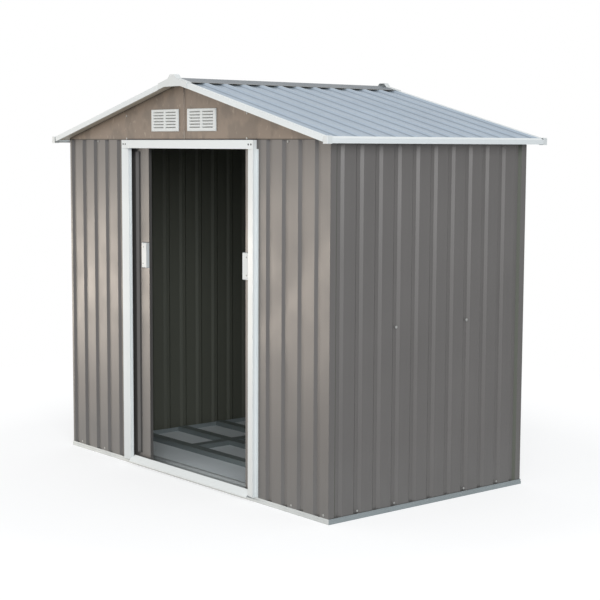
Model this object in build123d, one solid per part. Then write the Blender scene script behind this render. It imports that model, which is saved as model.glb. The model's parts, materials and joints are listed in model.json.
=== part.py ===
from build123d import *

import os
from math import atan, cos, sin, tan

# Metal storage shed with an apex roof and two sliding doors. Millimetres, +Z up.
# X runs along the gabled front from left to right, Y runs from the front to the back,
# and the origin is on the ground at the centre of the footprint.

# Whole shed
ROOF_WIDTH = 2130.0
ROOF_DEPTH = 1300.0
RIDGE_TOP = 1836.0
WALL_WIDTH = 2010.0
WALL_DEPTH = 1160.0
WALL_TOP = 1570.0

# Ribbed sheet: narrow trapezoid ribs at one pitch in a flat sheet
SHEET = 1.5
RIB_PITCH = 105.5
RIB_BASE = 42.0
RIB_CREST = 18.0
RIB_HEIGHT = 10.0
SIDE_RIBS = 11
FRONT_FIRST_RIB = -970.0
FRONT_LEFT_RIBS = 5
FRONT_RIGHT_SKIP = 15
FRONT_RIGHT_RIBS = 4
BACK_RIBS = 19
ROOF_RIBS = 11

# Floor rails and foundation bars
RAIL_OUTSET_X = 6.0
RAIL_OUTSET_Y = 3.0
RAIL_STEP_Z = 13.0
RAIL_STEP = 1.5
RAIL_HEIGHT = 22.0
RAIL_WIDTH = 45.0
BAR_WIDTH = 50.0
BAR_HEIGHT = 25.0
BAR_LIP = 8.0
CROSS_BAR_Y = (-182.0, 71.0, 324.0)
JOIST_X = 527.0

# Inner frame
POST_LEG_X = 11.0
POST_LEG_Y = 26.0
TOP_RAIL_LOW = 1526.0
TOP_RAIL_HEIGHT = 40.0
TOP_RAIL_DEPTH = 14.0
BEAM_HALF = 30.0
BEAM_DROP = 34.0

# Doorway in the front wall, a little right of the centre
DOORWAY_CENTRE = 15.0
DOORWAY_WIDTH = 930.0
WALL_SETBACK = 5.0
JAMB_FACE = 46.0
JAMB_LIP = 10.0
JAMB_OUTER_LIP = 14.0
JAMB_INNER_PROUD = 11.0
FRAME_PROUD = 20.0
HEADER_LOW = 1524.0
HEADER_HIGH = 1562.0
SILL_PROUD = 22.0
SILL_FRONT_Z = 17.0
SILL_FRONT_LIP = 4.0
SILL_BACK_Z = 44.0
SILL_BACK_IN = 5.0

# Sliding doors behind the front wall, both shown partly open
DOOR_SHEET = 1.2
DOOR_WIDTH = 500.0
DOOR_DEPTH = 16.0
DOOR_LOW = 34.0
DOOR_HIGH = 1532.0
DOOR_FRONT = -558.0
DOOR_STILE = 30.0
DOOR_RAIL = 24.0
DOOR_JOINT = 0.5
DOOR_RIBS = 4
LEFT_DOOR_EDGE = -328.0
RIGHT_DOOR_EDGE = 421.0
HANDLE_Z = 1020.0
HANDLE_HEIGHT = 118.0
HANDLE_WIDTH = 56.0
HANDLE_PROUD = 17.0
GRIP_WIDTH = 38.0
HANDLE_WALL = 4.0
HANDLE_END = 9.0
HANGER_LENGTH = 44.0
HANGER_RISE = 22.0
HANGER_INSET = 60.0
TRACK_HEIGHT = 36.0
TRACK_WIDTH = 41.5
TRACK_OVERLAP = 2.0
GUIDE_FLOOR = 20.0
GUIDE_TOP = 30.0
GUIDE_BACK = -472.0
GUIDE_RIB = 12.0

# Roof, ridge cap and white edge trims
EAVE_PAN_Z = 1562.0
RIDGE_PAN_Z = 1828.0
SLOPE_RUN = 1056.0
ROOF_SHEET_X = 1050.0
RIDGE_GAP = 6.0
CAP_HALF = 95.0
CROWN_HALF = 24.0
HOOD_TOP = 1852.5
HOOD_HALF = 112.0
HOOD_CROWN_HALF = 34.0
HOOD_KNEE_HALF = 63.0
HOOD_DEPTH = 28.0
HOOD_WALL = 2.5
TRIM = 1.5
TRIM_GAP = 0.5
RAKE_FACE = 24.0
RAKE_TOP = 20.0
EAVE_LOW = 1549.0
EAVE_FACE = 20.0
EAVE_LIP = 14.0
EAVE_LIP_RISE = 8.0
CORNER_CAP = 26.0
CORNER_WALL = 2.0

# Gable sheets and their vents
GABLE_LOW = 1563.0
GABLE_TOP_GAP = 3.0
FRONT_LAP_X = 6.0
BACK_LAP_X = 0.0
LAP_FLOOR = 20.0
LAP_SLOPE = 4.0
LAP_DEPTH = 5.0
VENT_WIDTH = 216.0
VENT_HEIGHT = 100.0
VENT_Z = 1651.0
VENT_PAIR_X = -9.0
VENT_SPACING = 286.0
VENT_PROUD = 6.0
VENT_BORDER = 9.0
VENT_MULLION = 14.0
VENT_SLOTS = 6
VENT_SLOT = 4.5
VENT_TILT = 35.0

FRONT = -WALL_DEPTH / 2
BACK = WALL_DEPTH / 2
LEFT = -WALL_WIDTH / 2
RIGHT = WALL_WIDTH / 2
SLOPE = atan((RIDGE_PAN_Z - EAVE_PAN_Z) / SLOPE_RUN)
RIB_INSIDE = RIB_HEIGHT + SHEET
DOORWAY_LEFT = DOORWAY_CENTRE - DOORWAY_WIDTH / 2
DOORWAY_RIGHT = DOORWAY_CENTRE + DOORWAY_WIDTH / 2

parts = {}


def prism(points, plane, length):
    """Extrude the closed outline, drawn in the plane, along the plane's normal."""
    face = plane * make_face(Polyline(*points, close=True))
    return extrude(face, amount=length, dir=plane.z_dir)


def upright(points, low, high):
    """Extrude an (x, y) outline from one height to another."""
    return prism(points, Plane.XY.offset(low), high - low)


def along_x(points, start, end):
    """Extrude a (y, z) outline from left to right."""
    return prism(points, Plane(origin=(start, 0, 0), x_dir=(0, 1, 0), z_dir=(1, 0, 0)), end - start)


def along_y(points, start, end):
    """Extrude an (x, z) outline from the back end to the front end."""
    return prism(points, Plane(origin=(0, end, 0), x_dir=(1, 0, 0), z_dir=(0, -1, 0)), end - start)


def block(low, high):
    """Box between two opposite corners given in any order."""
    near = [min(a, b) for a, b in zip(low, high)]
    size = [abs(b - a) for a, b in zip(low, high)]
    return Pos(*near) * Box(*size, align=(Align.MIN, Align.MIN, Align.MIN))


def folded(line, metal):
    """Closed outline of sheet metal bent along an open line, thickened to its left."""
    bends = [Vector(*point) for point in line]
    runs = [(b - a).normalized() for a, b in zip(bends, bends[1:])]
    sides = [Vector(-run.Y, run.X) for run in runs]
    inner = []
    for bend, before, after in zip(bends, sides[:1] + sides, sides + sides[-1:]):
        inner.append(bend + (before + after) * (metal / (1 + before.dot(after))))
    return list(line) + [(point.X, point.Y) for point in reversed(inner)]


def rib_line(centres):
    """Bend points of the ribs along a sheet: distance along it, then rib height."""
    half_base = RIB_BASE / 2
    half_crest = RIB_CREST / 2
    line = []
    for centre in centres:
        line += [
            (centre - half_base, 0),
            (centre - half_crest, RIB_HEIGHT),
            (centre + half_crest, RIB_HEIGHT),
            (centre + half_base, 0),
        ]
    return line


def spread(count, pitch):
    """Centres of a row of pieces spaced evenly about zero."""
    return [(i - (count - 1) / 2) * pitch for i in range(count)]


def pan_z(x):
    """Height of the roof pans' upper face at a distance from the ridge line."""
    return RIDGE_PAN_Z - abs(x) * tan(SLOPE)


def under_pan_z(x):
    """Height of the roof pans' lower face."""
    return pan_z(x) - SHEET / cos(SLOPE)


def down_slope(points, sx, start_x, end_x):
    """Extrude a (y, height over the pans) outline down the slope on one side of the ridge."""
    down = Vector(sx * cos(SLOPE), 0, -sin(SLOPE))
    origin = Vector(0, 0, RIDGE_PAN_Z) + down * (start_x / cos(SLOPE))
    plane = Plane(origin=origin, x_dir=(0, sx, 0), z_dir=down)
    return prism([(sx * y, rise) for y, rise in points], plane, (end_x - start_x) / cos(SLOPE))


def floor_rails():
    """Rolled channels on the ground, mitred at the corners, with a stepped outer lip."""
    reach_x = RIGHT + RAIL_OUTSET_X
    reach_y = BACK + RAIL_OUTSET_Y
    section = folded(
        [
            (RAIL_STEP, RAIL_HEIGHT),
            (RAIL_STEP, RAIL_STEP_Z + RAIL_STEP / 2),
            (0, RAIL_STEP_Z - RAIL_STEP / 2),
            (0, 0),
            (RAIL_WIDTH, 0),
            (RAIL_WIDTH, RAIL_HEIGHT),
        ],
        SHEET,
    )
    runs = {
        "floor_rail_front": (-reach_x, -reach_y, 0, 2 * reach_x),
        "floor_rail_right": (reach_x, -reach_y, 90, 2 * reach_y),
        "floor_rail_back": (reach_x, reach_y, 180, 2 * reach_x),
        "floor_rail_left": (-reach_x, reach_y, 270, 2 * reach_y),
    }
    for name, (x, y, turn, length) in runs.items():
        mitre = [
            (0, 0),
            (length, 0),
            (length - RAIL_WIDTH, RAIL_WIDTH),
            (RAIL_WIDTH, RAIL_WIDTH),
        ]
        rail = along_x(section, 0, length) & upright(mitre, 0, RAIL_HEIGHT)
        parts[name] = Pos(x, y, 0) * Rot(0, 0, turn) * rail


def foundation():
    """Channel bars on the ground: cross bars, with short joists fitted between them."""
    half = BAR_WIDTH / 2
    section = folded(
        [
            (half - BAR_LIP, 0),
            (half, 0),
            (half, BAR_HEIGHT),
            (-half, BAR_HEIGHT),
            (-half, 0),
            (BAR_LIP - half, 0),
        ],
        SHEET,
    )
    inside_x = RIGHT + RAIL_OUTSET_X - RAIL_WIDTH
    inside_y = BACK + RAIL_OUTSET_Y - RAIL_WIDTH
    bars = []
    for centre in CROSS_BAR_Y:
        bars.append(along_x([(centre + y, z) for y, z in section], -inside_x, inside_x))
    parts["cross_bars"] = Compound(children=bars)
    starts = [y + half for y in CROSS_BAR_Y]
    ends = [y - half for y in CROSS_BAR_Y[1:]] + [inside_y]
    joists = []
    for centre in (-JOIST_X, JOIST_X):
        for start, end in zip(starts, ends):
            joists.append(along_y([(centre + x, z) for x, z in section], start, end))
    parts["joists"] = Compound(children=joists)


def wall_sheet(side, start, end, centres):
    """Vertical ribbed sheet on one side of the shed, its ribs pressed inwards."""
    place = {
        "front": lambda along, depth: (along, FRONT + depth),
        "back": lambda along, depth: (along, BACK - depth),
        "left": lambda along, depth: (LEFT + depth, along),
        "right": lambda along, depth: (RIGHT - depth, along),
    }[side]
    outline = folded([(start, 0)] + rib_line(centres) + [(end, 0)], SHEET)
    return upright([place(*point) for point in outline], SHEET, WALL_TOP)


def walls():
    """Ribbed wall sheets standing in the floor rails."""
    ribs = [FRONT_FIRST_RIB + i * RIB_PITCH for i in range(FRONT_RIGHT_SKIP + FRONT_RIGHT_RIBS)]
    left_ribs = ribs[:FRONT_LEFT_RIBS]
    right_ribs = ribs[FRONT_RIGHT_SKIP:]
    left_end = DOORWAY_LEFT - WALL_SETBACK
    right_start = DOORWAY_RIGHT + WALL_SETBACK
    parts["front_wall_left"] = wall_sheet("front", LEFT, left_end, left_ribs)
    parts["front_wall_right"] = wall_sheet("front", right_start, RIGHT, right_ribs)
    for side in ("left", "right"):
        ribs = spread(SIDE_RIBS, RIB_PITCH)
        parts[side + "_wall"] = wall_sheet(side, FRONT + SHEET, BACK - SHEET, ribs)
    ribs = spread(BACK_RIBS, RIB_PITCH)
    seam = -RIB_PITCH / 2
    left_ribs = [rib for rib in ribs if rib < seam]
    right_ribs = [rib for rib in ribs if rib > seam]
    parts["back_wall_left"] = wall_sheet("back", LEFT, seam, left_ribs)
    parts["back_wall_right"] = wall_sheet("back", seam, RIGHT, right_ribs)


def corner_posts():
    """Angles folded into the four inside corners."""
    section = folded([(0, POST_LEG_Y), (0, 0), (POST_LEG_X, 0)], SHEET)
    posts = []
    for sx in (-1, 1):
        for sy in (-1, 1):
            corner_x = sx * (RIGHT - SHEET)
            corner_y = sy * (BACK - SHEET)
            points = [(corner_x - sx * u, corner_y - sy * v) for u, v in section]
            posts.append(upright(points, SHEET, GABLE_LOW))
    parts["corner_posts"] = Compound(children=posts)


def channel(height, depth, top_fall=0.0):
    """Channel section with its back on a wall: depth into the shed, then height."""
    line = [(depth, 0), (0, 0), (0, height), (depth, height - top_fall)]
    return folded(line, -SHEET)


def inner_frame():
    """Rails along the tops of the side and back walls, and a beam under the ridge."""
    face_x = RIGHT - RIB_INSIDE
    face_y = BACK - RIB_INSIDE
    rail_high = under_pan_z(face_x)
    rise = under_pan_z(face_x - TOP_RAIL_DEPTH) - rail_high
    side_rail = channel(rail_high - TOP_RAIL_LOW, TOP_RAIL_DEPTH, -rise)
    back_rail = channel(TOP_RAIL_HEIGHT, TOP_RAIL_DEPTH)
    track_back = FRONT + RIB_INSIDE + TRACK_WIDTH
    rails = []
    for sx in (-1, 1):
        points = [(sx * (face_x - depth), TOP_RAIL_LOW + z) for depth, z in side_rail]
        rails.append(along_y(points, track_back, face_y))
    reach = face_x - TOP_RAIL_DEPTH
    points = [(face_y - depth, TOP_RAIL_LOW + z) for depth, z in back_rail]
    rails.append(along_x(points, -reach, reach))
    parts["top_rails"] = Compound(children=rails)
    top = under_pan_z(0)
    side = under_pan_z(BEAM_HALF)
    line = [
        (-BEAM_HALF, top - BEAM_DROP),
        (-BEAM_HALF, side),
        (0, top),
        (BEAM_HALF, side),
        (BEAM_HALF, top - BEAM_DROP),
    ]
    reach = BACK - LAP_DEPTH - SHEET
    parts["ridge_beam"] = along_y(folded(line, -SHEET), -reach, reach)


def gables():
    """Smooth gable sheets in two halves on each end, lapped in a shallow pressed recess."""
    hole_half = VENT_WIDTH / 2 - 2 * VENT_BORDER
    hole_rise = VENT_HEIGHT / 2 - VENT_BORDER
    floor = SHEET - LAP_DEPTH
    triangle = [
        (LEFT, GABLE_LOW),
        (LEFT, pan_z(LEFT) - GABLE_TOP_GAP),
        (0, pan_z(0) - GABLE_TOP_GAP),
        (RIGHT, pan_z(RIGHT) - GABLE_TOP_GAP),
        (RIGHT, GABLE_LOW),
    ]
    for end, sy, lap in (("front", -1, FRONT_LAP_X), ("back", 1, BACK_LAP_X)):
        reach = sy * (BACK + SHEET)
        behind = sy * (BACK - LAP_DEPTH - SHEET)
        outline = along_y(triangle, min(behind, reach), max(behind, reach))
        edge = lap + LAP_FLOOR / 2
        right_line = [(-edge + 2 * lap, floor), (edge, floor), (edge + LAP_SLOPE, SHEET), (RIGHT, SHEET)]
        edge = lap - LAP_FLOOR / 2
        left_line = [
            (LEFT, SHEET),
            (edge - LAP_SLOPE - SHEET, SHEET),
            (edge - SHEET, floor - SHEET),
            (lap, floor - SHEET),
        ]
        for side, sx, line in (("left", -1, left_line), ("right", 1, right_line)):
            points = [(x, sy * (BACK + out)) for x, out in folded(line, -SHEET)]
            sheet = upright(points, GABLE_LOW, RIDGE_PAN_Z) & outline
            centre = VENT_PAIR_X + sx * VENT_SPACING / 2
            hole = block(
                (centre - hole_half, sy * BACK, VENT_Z - hole_rise),
                (centre + hole_half, reach, VENT_Z + hole_rise),
            )
            parts[f"{end}_gable_{side}"] = sheet - hole


def vent():
    """Louvred vent facing the front, its back on y = 0: two columns of slanted slots."""
    plate = Pos(0, -VENT_PROUD / 2, 0) * Box(VENT_WIDTH, VENT_PROUD, VENT_HEIGHT)
    plate = chamfer(plate.faces().sort_by(Axis.Y)[0].edges(), VENT_PROUD / 3)
    column = (VENT_WIDTH - 4 * VENT_BORDER - VENT_MULLION) / 2
    pitch = (VENT_HEIGHT - 2 * VENT_BORDER) / VENT_SLOTS
    for x in spread(2, column + VENT_MULLION):
        for z in spread(VENT_SLOTS, pitch):
            slot = Box(column, 4 * VENT_PROUD, VENT_SLOT)
            plate -= Pos(x, -VENT_PROUD / 2, z) * Rot(-VENT_TILT, 0, 0) * slot
    return plate


def vents():
    """A pair of vents over the holes in each gable."""
    grille = vent()
    for end, turn, sy in (("front", 0, -1), ("back", 180, 1)):
        pair = []
        for offset in spread(2, VENT_SPACING):
            place = Pos(VENT_PAIR_X + offset, sy * (BACK + SHEET), VENT_Z) * Rot(0, 0, turn)
            pair.append(place * grille)
        parts[end + "_vents"] = Compound(children=pair)


def roof():
    """Ribbed roof sheets, their ribs standing up and their side edges turned up."""
    half = ROOF_DEPTH / 2 - HOOD_WALL - TRIM - 2 * TRIM_GAP
    edge_rib = RIB_PITCH * (ROOF_RIBS + 1) / 2
    turned_foot = edge_rib - RIB_BASE / 2
    turned_crest = edge_rib - RIB_CREST / 2
    line = [(-half, RIB_HEIGHT), (-turned_crest, RIB_HEIGHT), (-turned_foot, 0)]
    line += rib_line(spread(ROOF_RIBS, RIB_PITCH))
    line += [(turned_foot, 0), (turned_crest, RIB_HEIGHT), (half, RIB_HEIGHT)]
    section = folded(line, -SHEET)
    for side, sx in (("left", -1), ("right", 1)):
        parts["roof_" + side] = down_slope(section, sx, RIDGE_GAP, ROOF_SHEET_X)


def cap_line(half, lift, crown_half, crown_z):
    """Bend points over the ridge, at a height over the roof ribs, with a flat crown."""
    rib_top = RIB_HEIGHT / cos(SLOPE) + lift
    right = [
        (crown_half / 2, crown_z),
        (crown_half, pan_z(crown_half) + rib_top),
        (half, pan_z(half) + rib_top),
    ]
    return [(-x, z) for x, z in reversed(right)] + right


def ridge():
    """Folded cap lying on the roof ribs, with a white moulded hood over each end."""
    seat = SHEET + 0.2
    section = folded(cap_line(CAP_HALF, seat, CROWN_HALF, RIDGE_TOP + seat), -SHEET)
    reach = ROOF_DEPTH / 2 - HOOD_WALL - TRIM_GAP
    parts["ridge_cap"] = along_y(section, -reach, reach)
    over = cap_line(HOOD_HALF, seat + HOOD_WALL + TRIM_GAP, HOOD_CROWN_HALF, HOOD_TOP)
    under = [(x, z - HOOD_WALL) for x, z in over]
    rake_drop = (RAKE_FACE - RIB_HEIGHT - TRIM) / cos(SLOPE)
    foot = pan_z(HOOD_HALF) - rake_drop
    knee = pan_z(HOOD_KNEE_HALF) - rake_drop
    lower = [(HOOD_HALF, foot), (HOOD_KNEE_HALF, knee), (-HOOD_KNEE_HALF, knee), (-HOOD_HALF, foot)]
    ends = []
    for sy in (-1, 1):
        outer = sy * ROOF_DEPTH / 2
        inner = outer - sy * HOOD_WALL
        deep = outer - sy * HOOD_DEPTH
        plate = along_y(over + lower, min(outer, inner), max(outer, inner))
        cover = along_y(over + under[::-1], min(outer, deep), max(outer, deep))
        ends.append(plate + cover)
    parts["ridge_ends"] = Compound(children=ends)


def rake_trims():
    """White angles along the four sloping edges, their upper ends under the ridge hoods."""
    half = ROOF_DEPTH / 2 - HOOD_WALL - TRIM_GAP
    top = RIB_HEIGHT + TRIM
    line = [(half - RAKE_TOP, top), (half, top), (half, top - RAKE_FACE)]
    section = folded(line, -TRIM)
    start = CAP_HALF + TRIM_GAP + (RAKE_FACE - top) * sin(SLOPE)
    end = ROOF_WIDTH / 2 - CORNER_CAP - TRIM_GAP - top * sin(SLOPE)
    for name, sy in (("front", -1), ("back", 1)):
        points = [(sy * y, rise) for y, rise in section]
        trims = [down_slope(points, sx, start, end) for sx in (-1, 1)]
        parts[name + "_rake_trims"] = Compound(children=trims)


def corner_cap():
    """Moulded cap for the right back corner of the roof, hollow and open towards the roof."""
    outer_x = ROOF_WIDTH / 2
    outer_y = ROOF_DEPTH / 2
    low = EAVE_LOW - CORNER_WALL
    high = EAVE_LOW + EAVE_FACE + EAVE_LIP_RISE + CORNER_WALL
    shell = block((outer_x - CORNER_CAP, outer_y - CORNER_CAP, low), (outer_x, outer_y, high))
    corner = shell.edges().filter_by(Axis.Z).sort_by(lambda edge: edge.center().X + edge.center().Y)
    shell = fillet(corner[-1], 2 * CORNER_WALL)
    shell = chamfer(shell.faces().sort_by(Axis.Z)[-1].edges().sort_by(Axis.X)[-1], CORNER_WALL)
    hollow = block(
        (0, 0, low + CORNER_WALL),
        (outer_x - CORNER_WALL, outer_y - CORNER_WALL, high - CORNER_WALL),
    )
    return shell - hollow


def eave_trims():
    """White folded trims under the two eaves, with a cap on each corner of the roof."""
    face = ROOF_WIDTH / 2
    high = EAVE_LOW + EAVE_FACE
    line = [
        (face - EAVE_LIP, high + EAVE_LIP_RISE),
        (face, high),
        (face, EAVE_LOW),
        (face - EAVE_LIP, EAVE_LOW),
    ]
    section = folded(line, -TRIM)
    reach = ROOF_DEPTH / 2 - CORNER_CAP - TRIM_GAP
    trims = []
    for sx in (-1, 1):
        trims.append(along_y([(sx * x, z) for x, z in section], -reach, reach))
    parts["eave_trims"] = Compound(children=trims)
    cap = corner_cap()
    right = [cap, mirror(cap, Plane.XZ)]
    parts["eave_corner_caps"] = Compound(children=right + [mirror(one, Plane.YZ) for one in right])


def door_frame():
    """White frame round the doorway: hat-section jambs, a closed-end header and a sill ramp."""
    line = [
        (-JAMB_LIP, SHEET),
        (0, SHEET),
        (0, JAMB_INNER_PROUD),
        (JAMB_FACE, FRAME_PROUD),
        (JAMB_FACE, SHEET),
        (JAMB_FACE + JAMB_OUTER_LIP, SHEET),
    ]
    section = folded(line, -SHEET)
    for side, sx, edge in (("left", -1, DOORWAY_LEFT), ("right", 1, DOORWAY_RIGHT)):
        points = [(edge + sx * u, FRONT - v) for u, v in section]
        parts["jamb_" + side] = upright(points, RAIL_HEIGHT, HEADER_LOW)
    line = [
        (FRONT, HEADER_HIGH),
        (FRONT - FRAME_PROUD, HEADER_HIGH),
        (FRONT - FRAME_PROUD, HEADER_LOW),
        (FRONT, HEADER_LOW),
    ]
    left = DOORWAY_LEFT - JAMB_FACE
    right = DOORWAY_RIGHT + JAMB_FACE
    header = along_x(folded(line, SHEET), left, right)
    for edge, inward in ((left, SHEET), (right, -SHEET)):
        header += block((edge, FRONT, HEADER_LOW), (edge + inward, FRONT - FRAME_PROUD, HEADER_HIGH))
    parts["header"] = header
    line = [
        (FRONT - SILL_PROUD, SILL_FRONT_Z - SILL_FRONT_LIP),
        (FRONT - SILL_PROUD, SILL_FRONT_Z),
        (FRONT + SILL_BACK_IN, SILL_BACK_Z),
        (FRONT + SILL_BACK_IN, SHEET),
    ]
    sill = along_x(folded(line, -SHEET), DOORWAY_LEFT, DOORWAY_RIGHT)
    for edge, sx in ((DOORWAY_LEFT, -1), (DOORWAY_RIGHT, 1)):
        notch_low = (edge, FRONT - 2 * SHEET, RAIL_HEIGHT)
        notch_high = (edge - sx * (JAMB_LIP + SHEET), BACK, SILL_BACK_Z + SHEET)
        sill -= block(notch_low, notch_high)
    parts["sill"] = sill


def door_tracks():
    """Plate and two lips over the doors for their hangers, and the stepped guide on the ground."""
    front = FRONT + RIB_INSIDE
    back = front + TRACK_WIDTH
    low = DOOR_HIGH - TRACK_OVERLAP
    high = low + TRACK_HEIGHT
    reach = RIGHT - RIB_INSIDE
    parts["top_track"] = block((-reach, front, high - SHEET), (reach, back, high))
    lips = [block((-reach, y, low), (reach, y + SHEET, high - SHEET)) for y in (front, back - SHEET)]
    parts["track_lips"] = Compound(children=lips)
    front = FRONT - RAIL_OUTSET_Y + RAIL_WIDTH
    line = [
        (front, 0),
        (front, GUIDE_FLOOR),
        (GUIDE_BACK - GUIDE_RIB, GUIDE_FLOOR),
        (GUIDE_BACK - GUIDE_RIB, GUIDE_TOP),
        (GUIDE_BACK, GUIDE_TOP),
        (GUIDE_BACK, 0),
    ]
    reach = RIGHT + RAIL_OUTSET_X - RAIL_WIDTH
    parts["bottom_track"] = along_x(folded(line, -SHEET), -reach, reach)


def door_handle(edge, sx):
    """Moulded pull on the closing edge: a flat base with a finger space behind its grip."""
    line = [
        (0, 0),
        (0, HANDLE_PROUD),
        (GRIP_WIDTH, HANDLE_PROUD),
        (GRIP_WIDTH + HANDLE_PROUD, HANDLE_WALL),
        (HANDLE_WIDTH, HANDLE_WALL),
        (HANDLE_WIDTH, 0),
    ]
    low = HANDLE_Z - HANDLE_HEIGHT / 2
    high = HANDLE_Z + HANDLE_HEIGHT / 2
    body = upright([(edge - sx * u, DOOR_FRONT - v) for u, v in line], low, high)
    edges = body.edges().filter_by(Axis.X).sort_by(Axis.Y)[:2]
    body = fillet(edges, HANDLE_WALL)
    space = block(
        (edge - sx * HANDLE_WALL, DOOR_FRONT - HANDLE_WALL, low + HANDLE_END),
        (edge - sx * HANDLE_WIDTH, DOOR_FRONT - HANDLE_PROUD + HANDLE_WALL, high - HANDLE_END),
    )
    return body - space


def door(name, edge, sx):
    """One sliding door: ribbed sheet in a frame of channels, its handle and hangers."""
    other = edge - sx * DOOR_WIDTH
    low_x, high_x = sorted((edge, other))
    centre = (low_x + high_x) / 2
    back = DOOR_FRONT + DOOR_DEPTH
    face = DOOR_FRONT + DOOR_SHEET
    ribs = [centre + offset for offset in spread(DOOR_RIBS, RIB_PITCH)]
    line = [(low_x + DOOR_SHEET, 0)] + rib_line(ribs) + [(high_x - DOOR_SHEET, 0)]
    points = [(x, face + depth) for x, depth in folded(line, DOOR_SHEET)]
    parts[name + "_panel"] = upright(points, DOOR_LOW + DOOR_SHEET, DOOR_HIGH - DOOR_SHEET)
    frame = []
    for side, inward in ((low_x, 1), (high_x, -1)):
        tip = side + inward * DOOR_STILE
        line = [(tip, DOOR_FRONT), (side, DOOR_FRONT), (side, back), (tip, back)]
        frame.append(upright(folded(line, -inward * DOOR_SHEET), DOOR_LOW, DOOR_HIGH))
    for level, up in ((DOOR_LOW, 1), (DOOR_HIGH, -1)):
        tip = level + up * DOOR_RAIL
        line = [(DOOR_FRONT, tip), (DOOR_FRONT, level), (back, level), (back, tip)]
        section = folded(line, up * DOOR_SHEET)
        inset = DOOR_STILE + DOOR_JOINT
        frame.append(along_x(section, low_x + inset, high_x - inset))
    parts[name + "_frame"] = Compound(children=frame)
    parts[name + "_handle"] = door_handle(edge, sx)
    hangers = []
    middle = (DOOR_FRONT + back) / 2
    for x in (low_x + HANGER_INSET, high_x - HANGER_INSET):
        low = (x - HANGER_LENGTH / 2, middle - DOOR_DEPTH / 4, DOOR_HIGH)
        high = (x + HANGER_LENGTH / 2, middle + DOOR_DEPTH / 4, DOOR_HIGH + HANGER_RISE)
        hanger = block(low, high)
        hangers.append(fillet(hanger.edges().filter_by(Axis.Y).sort_by(Axis.Z)[-2:], DOOR_DEPTH / 3))
    parts[name + "_hangers"] = Compound(children=hangers)


def build():
    """Make every piece and write one file for each."""
    floor_rails()
    foundation()
    walls()
    corner_posts()
    inner_frame()
    gables()
    vents()
    roof()
    ridge()
    rake_trims()
    eave_trims()
    door_frame()
    door_tracks()
    door("left_door", LEFT_DOOR_EDGE, 1)
    door("right_door", RIGHT_DOOR_EDGE, -1)
    os.makedirs("parts", exist_ok=True)
    for name, shape in parts.items():
        export_step(shape, f"parts/{name}.step")


build()
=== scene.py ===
import json
import math

import bmesh
import bpy
from mathutils import Matrix, Vector

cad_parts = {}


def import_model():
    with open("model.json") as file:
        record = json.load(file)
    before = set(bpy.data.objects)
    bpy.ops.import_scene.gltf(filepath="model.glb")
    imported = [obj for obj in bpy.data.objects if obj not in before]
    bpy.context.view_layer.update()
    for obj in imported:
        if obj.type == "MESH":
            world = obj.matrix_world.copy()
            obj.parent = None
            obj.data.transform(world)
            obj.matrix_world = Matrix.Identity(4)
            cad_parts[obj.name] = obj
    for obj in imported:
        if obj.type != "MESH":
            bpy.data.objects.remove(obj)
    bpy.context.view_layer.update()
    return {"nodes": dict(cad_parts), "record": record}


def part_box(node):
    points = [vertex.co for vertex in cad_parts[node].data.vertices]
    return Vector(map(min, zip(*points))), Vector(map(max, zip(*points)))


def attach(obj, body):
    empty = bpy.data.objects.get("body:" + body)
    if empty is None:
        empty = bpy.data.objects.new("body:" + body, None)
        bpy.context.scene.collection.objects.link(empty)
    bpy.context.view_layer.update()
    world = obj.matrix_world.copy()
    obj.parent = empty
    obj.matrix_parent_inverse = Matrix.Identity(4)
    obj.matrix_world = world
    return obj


# Camera, fitted to the straight edges of the photograph
CAMERA_PLACE = (5.3308, -4.3160, 1.5379)
CAMERA_YAW = -0.8793
CAMERA_PITCH = 0.1072
CAMERA_ROLL = 0.0046
CAMERA_LENS = 85.9
CAMERA_SENSOR = 36.0
CAMERA_REACH = 200.0

# Light: a soft sky, a low warm lamp that the front mirrors, and a high one on the right of the front
SKY_LEVEL = 0.62
SKY_COLOUR = (0.94, 0.97, 1.0, 1.0)
KEY_PLACE = (-5.5, -4.3, 0.34)
KEY_SIZE = (6.4, 0.6)
KEY_POWER = 166.0
KEY_COLOUR = (1.0, 0.89, 0.76)
FILL_PLACE = (7.0, -5.0, 4.0)
FILL_SIZE = (4.5, 4.5)
FILL_POWER = 380.0
FILL_COLOUR = (0.95, 0.98, 1.0)
TARGET = (0.0, 0.0, 0.9)

# Floor: its glow grows with the distance from the shed, from the start to the end
FLOOR_SIZE = 80.0
FLOOR_DROP = 0.0005
FLOOR_ROUGH = 0.9
GLOW_NEAR = 0.5
GLOW_LEVEL_NEAR = 1.32
GLOW_START = 1.6
GLOW_END = 3.6

# Colours as they look, red, green and blue from 0 to 255
WALL = (106, 103, 101)
# The gables' paint, drawn warmer and lighter than the walls' as painted warm light
GABLE_WARM_LIT = (122, 109, 97)
BACKING = (98, 100, 90)
# Painted reflections of the gables' dents: darker patches and small pale glints
DENT_DARK_REFLECTION = (84, 77, 70)
DENT_GLINT = (186, 176, 162)
ROOF = (178, 190, 202)
# Painted shade along the feet of the roof's ribs
ROOF_RIB_SHADE = (92, 100, 108)
CAP = (126, 132, 137)
# Pale warm colour of faces that look down on the roof and cap: painted reflection of the walls and
# painted bounce light
UNDERSIDE_REFLECTION = (232, 218, 196)
WHITE = (238, 241, 240)
PLASTIC = (230, 232, 230)
ZINC = (200, 204, 204)
RAIL_ZINC = (150, 158, 160)
# Zinc of the floor bars inside the shed, drawn darker as painted shade
BAR_ZINC_SHADED = (134, 142, 142)
STEEL = (172, 173, 170)
# Dark grey of the header's screws, drawn darker than the other screws
DARK_SCREW_GREY = (92, 92, 90)
DUST = (138, 138, 136)
FLOOR_SEEN = (238, 238, 238)
FLOOR_LIT = (128, 136, 144)
GROUND = (222, 228, 230)

# Linear colours of light and of deep shade
FULL_WHITE = (1.0, 1.0, 1.0, 1.0)
BLACK = (0.0, 0.0, 0.0, 1.0)

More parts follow.
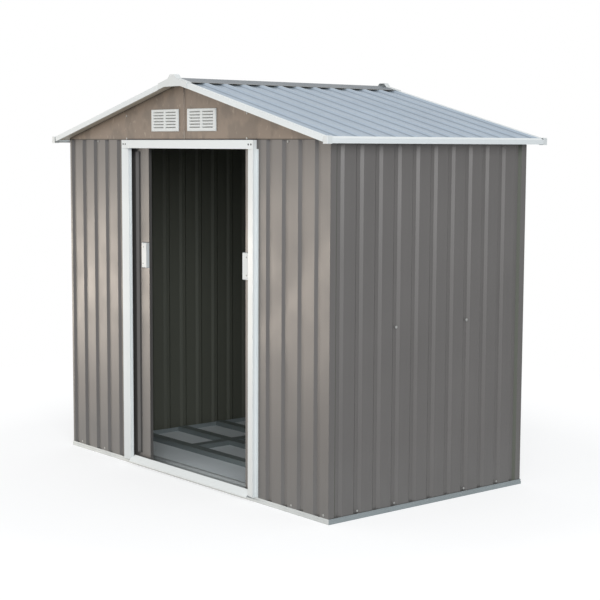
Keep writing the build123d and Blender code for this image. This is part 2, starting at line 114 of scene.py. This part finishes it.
# Scale, detail and stretch of the noise in each layer of a coating
MOTTLE_NOISE = (2.2, 3.0)
STREAK_NOISE = (38.0, 3.0, (1.0, 1.0, 0.04))
DENT_DARK_REFLECTION_NOISE = (9.0, 3.0, (1.0, 1.0, 0.7))
DENT_GLINT_NOISE = (48.0, 3.0, (1.0, 1.0, 0.6))
DUST_NOISE = (14.0, 4.0, (1.0, 1.0, 0.4))
GLOSS_NOISE = (5.0, 4.0)
DENT_NOISE = (3.2, 1.0, (1.0, 1.0, 0.5))
GRAIN_DETAIL = 2.0

# Values of the noise, or of the normal, between which a layer fades in
DENT_DARK_REFLECTION_FADE = (0.50, 0.58)
DENT_GLINT_FADE = (0.62, 0.70)
UNDERSIDE_REFLECTION_FADE = (-0.5, -0.1)
FLANK_FADE = (0.1, 0.5)
GLOSS_SPREAD = 0.06

# Heights in the coatings, in metres
DUST_TOP = 0.30
GRAIN_HEIGHT = 0.0002
DENT_HEIGHT = 0.004
# Painted shadow along the lower edges of the gables and the sill: its height, and its darkness
SHADOW_LINE_HEIGHT = 0.006
SHADOW_LINE_DARK = 0.75

# Inner faces: beyond this distance from the middle a sheet is part of the front or back
FRONT_ZONE = 0.52
INNER_FACING = -0.1
BACKING_ROUGH = 0.7

# Roof sheets, in metres
RIB_HEIGHT = 0.010
RIB_FOOT = 0.0045
SHEET = 0.0015

# Screws, in metres, and the shape of their heads as shares of radius and rise
SCREW_RADIUS = 0.0042
WASHER_RADIUS = 0.0062
SCREW_RISE = 0.0028
WASHER_RISE = 0.0009
HEAD_SHAPE = ((0.97, 0.55), (0.78, 0.86), (0.42, 1.0))
RING_POINTS = 16
CROSS_HALF = 0.0022
CROSS_ARM = 0.0005
CROSS_DEPTH = 0.0009
SMALL_SCREW = 0.8
TINY_SCREW = 0.7

# Places of the screws, in metres. Those along the feet of the walls are at every second rib.
RIB_PITCH = 0.1055
SCREW_PITCH = 2 * RIB_PITCH
SIDE_FEET = 5
BACK_FEET = 9
BACK_LAPS = 4
RAIL_GAP = 0.011
FRONT_FOOT_X = (-0.917, -0.706, 0.765, 0.974)
GABLE_SCREW_X = (-0.479, 0.459)
GABLE_SCREW_Z = (1.569, 1.676)
GABLE_HEM_X = (-0.736, 0.736)
GABLE_HEM_Z = 1.556
HEADER_SCREW_INSET = 0.023
HEADER_SCREW_SPACING = 0.018
HANDLE_SCREW_INSET = 0.020

# Corners of a rectangle, counter-clockwise
CORNERS = ((-1, -1), (1, -1), (1, 1), (-1, 1))

FRONTWARD = (0, -1, 0)
BACKWARD = (0, 1, 0)

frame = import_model()
nodes = frame["nodes"]


def linear(colour):
    """Linear values of a colour given as it looks, by the sRGB curve."""
    values = [((c / 255 + 0.055) / 1.055) ** 2.4 if c > 10 else c / 255 / 12.92 for c in colour]
    return (*values, 1.0)


def node(tree, kind, **inputs):
    """One shader node with its named sockets set."""
    made = tree.nodes.new("ShaderNode" + kind)
    for name, value in inputs.items():
        made.inputs[name.replace("_", " ")].default_value = value
    return made


def noise(tree, coords, scale, detail, stretch=(1.0, 1.0, 1.0)):
    """Noise in the object's own coordinates, stretched along an axis."""
    mapping = node(tree, "Mapping", Scale=stretch)
    texture = node(tree, "TexNoise", Scale=scale, Detail=detail)
    tree.links.new(coords, mapping.inputs["Vector"])
    tree.links.new(mapping.outputs["Vector"], texture.inputs["Vector"])
    return texture.outputs["Fac"]


def ranged(tree, value, low, high, start=0.3, end=0.7):
    """Maps a value from the range start to end onto low to high, clamped."""
    made = node(tree, "MapRange", From_Min=start, From_Max=end, To_Min=low, To_Max=high)
    tree.links.new(value, made.inputs["Value"])
    return made.outputs["Result"]


def maths(tree, kind, *values):
    """One Math node, where each value is a socket or a plain number."""
    made = tree.nodes.new("ShaderNodeMath")
    made.operation = kind
    for socket, value in zip(made.inputs, values):
        if isinstance(value, (int, float)):
            socket.default_value = value
        else:
            tree.links.new(value, socket)
    return made.outputs[0]


def parts_of(tree, vector):
    """The three parts of a vector."""
    split = tree.nodes.new("ShaderNodeSeparateXYZ")
    tree.links.new(vector, split.inputs["Vector"])
    return split.outputs


def mixed(tree, under, over, share, kind="MIX"):
    """Colour mix, where each input is a socket or a plain colour or number."""
    made = tree.nodes.new("ShaderNodeMix")
    made.data_type = "RGBA"
    made.blend_type = kind
    for name, value in (("A", under), ("B", over), ("Factor", share)):
        if isinstance(value, (tuple, float)):
            made.inputs[name].default_value = value
        else:
            tree.links.new(value, made.inputs[name])
    return made.outputs["Result"]


def faces_inwards(tree, place):
    """1 on the faces of a wall sheet or door that look into the shed."""
    spot = parts_of(tree, place.outputs["Object"])
    facing = parts_of(tree, place.outputs["Normal"])
    outward_x = maths(tree, "MULTIPLY", facing["X"], maths(tree, "SIGN", spot["X"]))
    outward_y = maths(tree, "MULTIPLY", facing["Y"], maths(tree, "SIGN", spot["Y"]))
    at_front = maths(tree, "GREATER_THAN", maths(tree, "ABSOLUTE", spot["Y"]), FRONT_ZONE)
    at_side = maths(tree, "SUBTRACT", 1.0, at_front)
    outward_y = maths(tree, "MULTIPLY", outward_y, at_front)
    outward_x = maths(tree, "MULTIPLY", outward_x, at_side)
    outward = maths(tree, "ADD", outward_y, outward_x)
    return maths(tree, "LESS_THAN", outward, INNER_FACING)


def rib_foot_shade(tree, place):
    """1 along the foot of each rib of the roof sheets, where painted shade darkens the crease."""
    low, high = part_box("roof_right")
    pan = high.z - RIB_HEIGHT
    fall = (pan - low.z - SHEET) / (high.x - low.x)
    spot = parts_of(tree, place.outputs["Object"])
    drop = maths(tree, "MULTIPLY", maths(tree, "ABSOLUTE", spot["X"]), fall)
    rise = maths(tree, "SUBTRACT", maths(tree, "ADD", spot["Z"], drop), pan + low.x * fall)
    tilt = maths(tree, "ABSOLUTE", parts_of(tree, place.outputs["Normal"])["Y"])
    near = ranged(tree, rise, 1.0, 0.0, RIB_FOOT / 2, RIB_FOOT)
    return maths(tree, "MULTIPLY", near, ranged(tree, tilt, 0.0, 1.0, *FLANK_FADE))


def uneven(tree, coords, result, layer, depth):
    """The colour made lighter and darker by up to the depth, by the noise of a layer."""
    shade = ranged(tree, noise(tree, coords, *layer), 1.0 - depth, 1.0 + depth)
    return mixed(tree, result, shade, 1.0, "MULTIPLY")


def dent_reflections(tree, coords, result, dent_reflection_share):
    """The colour with darker patches and small pale glints: painted reflections of a dented sheet."""
    dark_reflection_share = ranged(tree, noise(tree, coords, *DENT_DARK_REFLECTION_NOISE), 0.0, dent_reflection_share, *DENT_DARK_REFLECTION_FADE)
    result = mixed(tree, result, linear(DENT_DARK_REFLECTION), dark_reflection_share)
    glint_share = ranged(tree, noise(tree, coords, *DENT_GLINT_NOISE), 0.0, dent_reflection_share / 2, *DENT_GLINT_FADE)
    return mixed(tree, result, linear(DENT_GLINT), glint_share)


def relief(tree, coords, bump, grain, dent):
    """The normal of a coating: a fine grain, and soft dents where there are any."""
    fine = node(tree, "Bump", Strength=bump, Distance=GRAIN_HEIGHT)
    tree.links.new(noise(tree, coords, grain, GRAIN_DETAIL), fine.inputs["Height"])
    normal = fine.outputs["Normal"]
    if dent:
        wave = node(tree, "Bump", Strength=dent, Distance=DENT_HEIGHT)
        tree.links.new(noise(tree, coords, *DENT_NOISE), wave.inputs["Height"])
        tree.links.new(normal, wave.inputs["Normal"])
        normal = wave.outputs["Normal"]
    return normal


def coated(
    name,
    colour,
    rough,
    metallic=0.0,
    mottle=0.05,
    dust=0.0,
    streaks=0.0,
    dent_reflection_share=0.0,
    rib_shade=0.0,
    underside_reflection=None,
    backing=None,
    shadow_line=None,
    bump=0.05,
    grain=900.0,
    dent=0.0,
):
    """Painted sheet, plastic, zinc or ground: an uneven colour with layers of wear, painted shade and
    painted reflection over it.

    Faces that look down take a pale warm colour, a painted reflection of the walls and painted bounce
    light; a sheet's inner face takes the backing;
    and the lowest few millimetres above a lower edge at the given height are darkened as a painted
    shadow.
    """
    material = bpy.data.materials.new(name)
    material.use_nodes = True
    tree = material.node_tree
    shader = tree.nodes["Principled BSDF"]
    place = tree.nodes.new("ShaderNodeTexCoord")
    coords = place.outputs["Object"]

    result = uneven(tree, coords, linear(colour), MOTTLE_NOISE, mottle)
    if streaks:
        result = uneven(tree, coords, result, STREAK_NOISE, streaks)
    # Painted reflections of dents: darker patches and small pale glints
    if dent_reflection_share:
        result = dent_reflections(tree, coords, result, dent_reflection_share)
    # Painted shade in the creases at the feet of the roof's ribs
    if rib_shade:
        rib_shade_share = maths(tree, "MULTIPLY", rib_foot_shade(tree, place), rib_shade)
        result = mixed(tree, result, linear(ROOF_RIB_SHADE), rib_shade_share)
    # Painted shadow: the lowest few millimetres above the given lower edge darkened towards black
    if shadow_line:
        height = parts_of(tree, coords)["Z"]
        shade = ranged(tree, height, SHADOW_LINE_DARK, 0.0, shadow_line + SHADOW_LINE_HEIGHT / 2, shadow_line + SHADOW_LINE_HEIGHT)
        result = mixed(tree, result, BLACK, shade)
    # Painted reflection and bounce light on faces that look down
    if underside_reflection:
        facing = parts_of(tree, place.outputs["Normal"])
        below = ranged(tree, facing["Z"], 1.0, 0.0, *UNDERSIDE_REFLECTION_FADE)
        result = mixed(tree, result, linear(underside_reflection), below)
    if dust:
        height = ranged(tree, parts_of(tree, coords)["Z"], dust, 0.0, 0.0, DUST_TOP)
        film = maths(tree, "MULTIPLY", height, noise(tree, coords, *DUST_NOISE))
        result = mixed(tree, result, linear(DUST), film)
    gloss = ranged(tree, noise(tree, coords, *GLOSS_NOISE), rough - GLOSS_SPREAD, rough + GLOSS_SPREAD)
    if backing:
        inside = faces_inwards(tree, place)
        result = mixed(tree, result, linear(backing), inside)
        gloss = maths(tree, "MAXIMUM", gloss, maths(tree, "MULTIPLY", inside, BACKING_ROUGH))
        tree.links.new(ranged(tree, inside, metallic, 0.0, 0.0, 1.0), shader.inputs["Metallic"])
    else:
        shader.inputs["Metallic"].default_value = metallic
    tree.links.new(result, shader.inputs["Base Color"])
    tree.links.new(gloss, shader.inputs["Roughness"])
    tree.links.new(relief(tree, coords, bump, grain, dent), shader.inputs["Normal"])
    return material


wall = coated(
    "wall_paint",
    WALL,
    rough=0.40,
    metallic=0.30,
    mottle=0.04,
    dust=0.35,
    streaks=0.02,
    backing=BACKING,
    bump=0.08,
    dent=0.14,
)
# Gables: warmer and lighter than the walls as painted warm light
gable = coated(
    "gable_paint_warm_lit",
    GABLE_WARM_LIT,
    rough=0.42,
    metallic=0.30,
    mottle=0.06,
    # painted reflections of the dents
    dent_reflection_share=0.40,
    backing=BACKING,
    # painted shadow along the gable's lower edge
    shadow_line=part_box("front_gable_left")[0].z,
    bump=0.08,
    dent=0.45,
)
roof = coated(
    "roof_paint",
    ROOF,
    rough=0.50,
    metallic=0.10,
    mottle=0.05,
    streaks=0.02,
    # strength of the painted shade at the rib feet
    rib_shade=0.45,
    # painted reflection on the roof's underside
    underside_reflection=UNDERSIDE_REFLECTION,
    bump=0.10,
    dent=0.18,
)
cap = coated(
    "cap_paint",
    CAP,
    rough=0.50,
    metallic=0.10,
    mottle=0.05,
    # painted reflection on the cap's underside
    underside_reflection=UNDERSIDE_REFLECTION,
    bump=0.10,
    dent=0.10,
)
white = coated("trim_white", WHITE, rough=0.38, mottle=0.02, dust=0.10, bump=0.06, dent=0.06)
# The sill takes a painted shadow along its lower edge
sill_white = coated("sill_white", WHITE, rough=0.38, mottle=0.02, shadow_line=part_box("sill")[0].z, bump=0.06)
plastic = coated("plastic_white", PLASTIC, rough=0.48, mottle=0.02, bump=0.12, grain=1500.0)
zinc = coated(
    "zinc",
    ZINC,
    rough=0.40,
    metallic=0.6,
    mottle=0.08,
    dust=0.30,
    streaks=0.03,
    bump=0.12,
    grain=260.0,
)
rail_zinc = coated(
    "rail_zinc",
    RAIL_ZINC,
    rough=0.50,
    metallic=0.4,
    mottle=0.10,
    streaks=0.03,
    bump=0.12,
    grain=260.0,
)
# the floor bars take zinc drawn darker as painted shade
bar_zinc_shaded = coated("bar_zinc_shaded", BAR_ZINC_SHADED, rough=0.50, metallic=0.4, mottle=0.10, bump=0.12, grain=260.0)
steel = coated("steel", STEEL, rough=0.42, metallic=0.5, mottle=0.04, bump=0.04)
dark_screw_grey = coated("dark_screw_grey", DARK_SCREW_GREY, rough=0.50, mottle=0.04, bump=0.04)
FINISH = {
    "wall_paint": wall,
    "roof_paint": roof,
    "trim_white": white,
    "plastic_white": plastic,
    "galvanised": zinc,
}
OWN_FINISH = {
    "front_gable_left": gable,
    "front_gable_right": gable,
    "back_gable_left": gable,
    "back_gable_right": gable,
    "ridge_cap": cap,
    "sill": sill_white,
    "floor_rail_left": rail_zinc,
    "floor_rail_right": rail_zinc,
    "joists": bar_zinc_shaded,
    "cross_bars": bar_zinc_shaded,
}


def dress_nodes():
    """Gives each CAD node the finish of its slot in the record, or its own variant of that finish."""
    for subpart in frame["record"]["subparts"]:
        name = subpart["node"]
        data = nodes[name].data
        data.materials.clear()
        data.materials.append(OWN_FINISH.get(name, FINISH[subpart["material_slot"]]))


def ring(mesh, radius, height, place, turn):
    """One ring of points of a turned form."""
    points = []
    for i in range(RING_POINTS):
        angle = 2 * math.pi * i / RING_POINTS
        point = Vector((radius * math.cos(angle), radius * math.sin(angle), height))
        points.append(mesh.verts.new(place + turn @ point))
    return points


def lathe(mesh, profile, place, turn):
    """Adds a turned form to the mesh: profile points are radius and height over the surface."""
    rings = [ring(mesh, radius, height, place, turn) for radius, height in profile]
    for below, above in zip(rings, rings[1:]):
        for i in range(RING_POINTS):
            j = (i + 1) % RING_POINTS
            mesh.faces.new((below[i], below[j], above[j], above[i]))
    mesh.faces.new(list(reversed(rings[0])))
    mesh.faces.new(rings[-1])


def bar(mesh, half_x, half_y, low, high, place, turn):
    """Adds a box to the mesh, centred on the place and as high over the surface as low and high say."""
    under, over = [
        [mesh.verts.new(place + turn @ Vector((sx * half_x, sy * half_y, z))) for sx, sy in CORNERS]
        for z in (low, high)
    ]
    mesh.faces.new(list(reversed(under)))
    mesh.faces.new(over)
    for i in range(len(CORNERS)):
        j = (i + 1) % len(CORNERS)
        mesh.faces.new((under[i], under[j], over[j], over[i]))


def cross(mesh, place, turn, height):
    """Adds a raised cross to the top of a screw head, as two thin bars."""
    low, high = height - CROSS_DEPTH, height + CROSS_DEPTH / 4
    bar(mesh, CROSS_HALF, CROSS_ARM, low, high, place, turn)
    bar(mesh, CROSS_ARM, CROSS_HALF, low, high, place, turn)


def add_piece(name, mesh, material, body):
    """Makes a finished piece of a mesh and lets it ride on a body."""
    data = bpy.data.meshes.new(name)
    mesh.to_mesh(data)
    mesh.free()
    data.materials.append(material)
    piece = bpy.data.objects.new(name, data)
    bpy.context.scene.collection.objects.link(piece)
    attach(piece, body)


def screws(name, body, outward, places, size=1.0, material=steel):
    """Pan-head screws on thin washers, all facing one way, as one piece that rides on a body."""
    turn = Vector(outward).to_track_quat("Z", "Y").to_matrix()
    profile = [(WASHER_RADIUS, 0.0), (WASHER_RADIUS, WASHER_RISE), (SCREW_RADIUS, WASHER_RISE)]
    profile += [(SCREW_RADIUS * width, SCREW_RISE * rise) for width, rise in HEAD_SHAPE]
    profile = [(radius * size, height * size) for radius, height in profile]
    mesh = bmesh.new()
    for place in places:
        lathe(mesh, profile, Vector(place), turn)
        cross(mesh, Vector(place), turn, SCREW_RISE * size)
    add_piece(name, mesh, material, body)


def row(count, pitch):
    """Places spaced evenly about zero."""
    return [(i - (count - 1) / 2) * pitch for i in range(count)]


def wall_fixings():
    """Screws through the wall sheets: in their laps halfway up, and along the floor rails."""
    wall_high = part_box("right_wall")[1]
    foot_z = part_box("floor_rail_right")[1].z + RAIL_GAP
    middle_z = wall_high.z / 2
    feet = [y for y in row(SIDE_FEET, SCREW_PITCH) if y]
    for side, sx in (("right", 1), ("left", -1)):
        face = sx * wall_high.x
        places = [(face, y, middle_z) for y in (-SCREW_PITCH, SCREW_PITCH)]
        screws(side + "_lap_screws", "shed", (sx, 0, 0), places)
        places = [(face, y, foot_z) for y in feet]
        screws(side + "_foot_screws", "shed", (sx, 0, 0), places, SMALL_SCREW)

    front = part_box("front_wall_left")[0].y
    places = [(x, front, foot_z) for x in FRONT_FOOT_X]
    screws("front_wall_screws", "shed", FRONTWARD, places, SMALL_SCREW)
    places = [(x, -front, foot_z) for x in row(BACK_FEET, SCREW_PITCH)]
    places += [(x, -front, middle_z) for x in row(BACK_LAPS, 2 * SCREW_PITCH)]
    screws("back_wall_screws", "shed", BACKWARD, places, SMALL_SCREW)


def top_fixings():
    """Screws at the gables, header and door handles."""
    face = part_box("front_gable_left")[0].y
    places = [(x, face, z) for x in GABLE_SCREW_X for z in GABLE_SCREW_Z]
    places += [(x, face, GABLE_HEM_Z) for x in GABLE_HEM_X]
    screws("front_gable_screws", "shed", FRONTWARD, places, SMALL_SCREW)
    places = [(x, -y, z) for x, y, z in places]
    screws("back_gable_screws", "shed", BACKWARD, places, SMALL_SCREW)

    low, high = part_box("header")
    middle = (low.z + high.z) / 2
    places = []
    for x in (low.x + HEADER_SCREW_INSET, high.x - HEADER_SCREW_INSET):
        places += [(x + dx, low.y, middle) for dx in row(2, HEADER_SCREW_SPACING)]
    # the header's screws are drawn dark grey
    screws("header_screws", "shed", FRONTWARD, places, TINY_SCREW, dark_screw_grey)

    for side in ("left", "right"):
        low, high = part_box(side + "_door_handle")
        middle = (low.x + high.x) / 2
        heights = (low.z + HANDLE_SCREW_INSET, high.z - HANDLE_SCREW_INSET)
        places = [(middle, low.y, z) for z in heights]
        screws(side + "_handle_screws", side + "_door", FRONTWARD, places, TINY_SCREW)


def seen_directly(tree):
    """1 for camera, glossy and transmission rays, so that reflections show the background too."""
    seen = tree.nodes.new("ShaderNodeLightPath").outputs
    reflected = maths(tree, "MAXIMUM", seen["Is Glossy Ray"], seen["Is Transmission Ray"])
    return maths(tree, "MAXIMUM", seen["Is Camera Ray"], reflected)


def floor_look():
    """Pale floor that keeps the shed's shadow and turns white further off."""
    material = bpy.data.materials.new("floor")
    material.use_nodes = True
    tree = material.node_tree
    shader = tree.nodes["Principled BSDF"]
    shader.inputs["Roughness"].default_value = FLOOR_ROUGH
    direct = seen_directly(tree)
    colour = mixed(tree, linear(FLOOR_LIT), linear(FLOOR_SEEN), direct)
    tree.links.new(colour, shader.inputs["Base Color"])

    reach = tree.nodes.new("ShaderNodeVectorMath")
    reach.operation = "LENGTH"
    tree.links.new(tree.nodes.new("ShaderNodeTexCoord").outputs["Object"], reach.inputs[0])
    distance = reach.outputs["Value"]
    glow = node(tree, "Emission", Color=FULL_WHITE)
    level = ranged(tree, distance, GLOW_LEVEL_NEAR, 1.0, GLOW_START, GLOW_END)
    tree.links.new(level, glow.inputs["Strength"])
    growth = ranged(tree, distance, GLOW_NEAR, 1.0, GLOW_START, GLOW_END)
    share = maths(tree, "MULTIPLY", direct, growth)

    mix = tree.nodes.new("ShaderNodeMixShader")
    tree.links.new(share, mix.inputs["Fac"])
    tree.links.new(shader.outputs["BSDF"], mix.inputs[1])
    tree.links.new(glow.outputs["Emission"], mix.inputs[2])
    tree.links.new(mix.outputs["Shader"], tree.nodes["Material Output"].inputs["Surface"])
    return material


def plane(name, half_x, half_y, drop, material):
    """A flat piece of the stage, just below the ground's height."""
    data = bpy.data.meshes.new(name)
    corners = [(sx * half_x, sy * half_y, -drop) for sx, sy in CORNERS]
    data.from_pydata(corners, [], [(0, 1, 2, 3)])
    data.materials.append(material)
    made = bpy.data.objects.new(name, data)
    bpy.context.scene.collection.objects.link(made)


def stage():
    """The floor, and the ground inside the shed."""
    floor_material = floor_look()
    ground_material = coated("ground", GROUND, FLOOR_ROUGH, mottle=0.06, bump=0.3, grain=120.0)
    half_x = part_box("floor_rail_right")[1].x
    half_y = -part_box("floor_rail_front")[0].y
    plane("floor", FLOOR_SIZE / 2, FLOOR_SIZE / 2, FLOOR_DROP, floor_material)
    plane("ground", half_x, half_y, FLOOR_DROP / 2, ground_material)


def lamp(name, place, size, power, colour):
    """Soft lamp, as wide and high as given, that faces the object."""
    data = bpy.data.lights.new(name, "AREA")
    data.shape = "RECTANGLE"
    data.size, data.size_y = size
    data.energy = power
    data.color = colour
    made = bpy.data.objects.new(name, data)
    made.location = place
    made.rotation_euler = (Vector(TARGET) - Vector(place)).to_track_quat("-Z", "Y").to_euler()
    bpy.context.scene.collection.objects.link(made)


def world():
    """Grey soft sky that the camera and reflections see as white."""
    sky = bpy.data.worlds.new("sky")
    sky.use_nodes = True
    tree = sky.node_tree
    back = tree.nodes["Background"]
    back.inputs["Color"].default_value = SKY_COLOUR
    back.inputs["Strength"].default_value = SKY_LEVEL
    bright = node(tree, "Background", Color=FULL_WHITE, Strength=1.0)
    mix = tree.nodes.new("ShaderNodeMixShader")
    tree.links.new(seen_directly(tree), mix.inputs["Fac"])
    tree.links.new(back.outputs["Background"], mix.inputs[1])
    tree.links.new(bright.outputs["Background"], mix.inputs[2])
    tree.links.new(mix.outputs["Shader"], tree.nodes["World Output"].inputs["Surface"])
    bpy.context.scene.world = sky


def camera():
    """Camera at the photograph's viewpoint."""
    across = math.cos(CAMERA_PITCH)
    forward = Vector(
        (
            math.sin(CAMERA_YAW) * across,
            math.cos(CAMERA_YAW) * across,
            -math.sin(CAMERA_PITCH),
        )
    )
    level = Vector((math.cos(CAMERA_YAW), -math.sin(CAMERA_YAW), 0.0))
    upward = level.cross(forward)
    right = level * math.cos(CAMERA_ROLL) + upward * math.sin(CAMERA_ROLL)
    top = upward * math.cos(CAMERA_ROLL) - level * math.sin(CAMERA_ROLL)
    data = bpy.data.cameras.new("camera")
    data.lens = CAMERA_LENS
    data.sensor_width = CAMERA_SENSOR
    data.clip_end = CAMERA_REACH
    made = bpy.data.objects.new("camera", data)
    made.matrix_world = Matrix(
        [
            (right.x, top.x, -forward.x, CAMERA_PLACE[0]),
            (right.y, top.y, -forward.y, CAMERA_PLACE[1]),
            (right.z, top.z, -forward.z, CAMERA_PLACE[2]),
            (0.0, 0.0, 0.0, 1.0),
        ]
    )
    bpy.context.scene.collection.objects.link(made)
    bpy.context.scene.camera = made


camera()
world()
lamp("key", KEY_PLACE, KEY_SIZE, KEY_POWER, KEY_COLOUR)
lamp("fill", FILL_PLACE, FILL_SIZE, FILL_POWER, FILL_COLOUR)
stage()
dress_nodes()
wall_fixings()
top_fixings()

bpy.context.scene.view_settings.view_transform = "Standard"
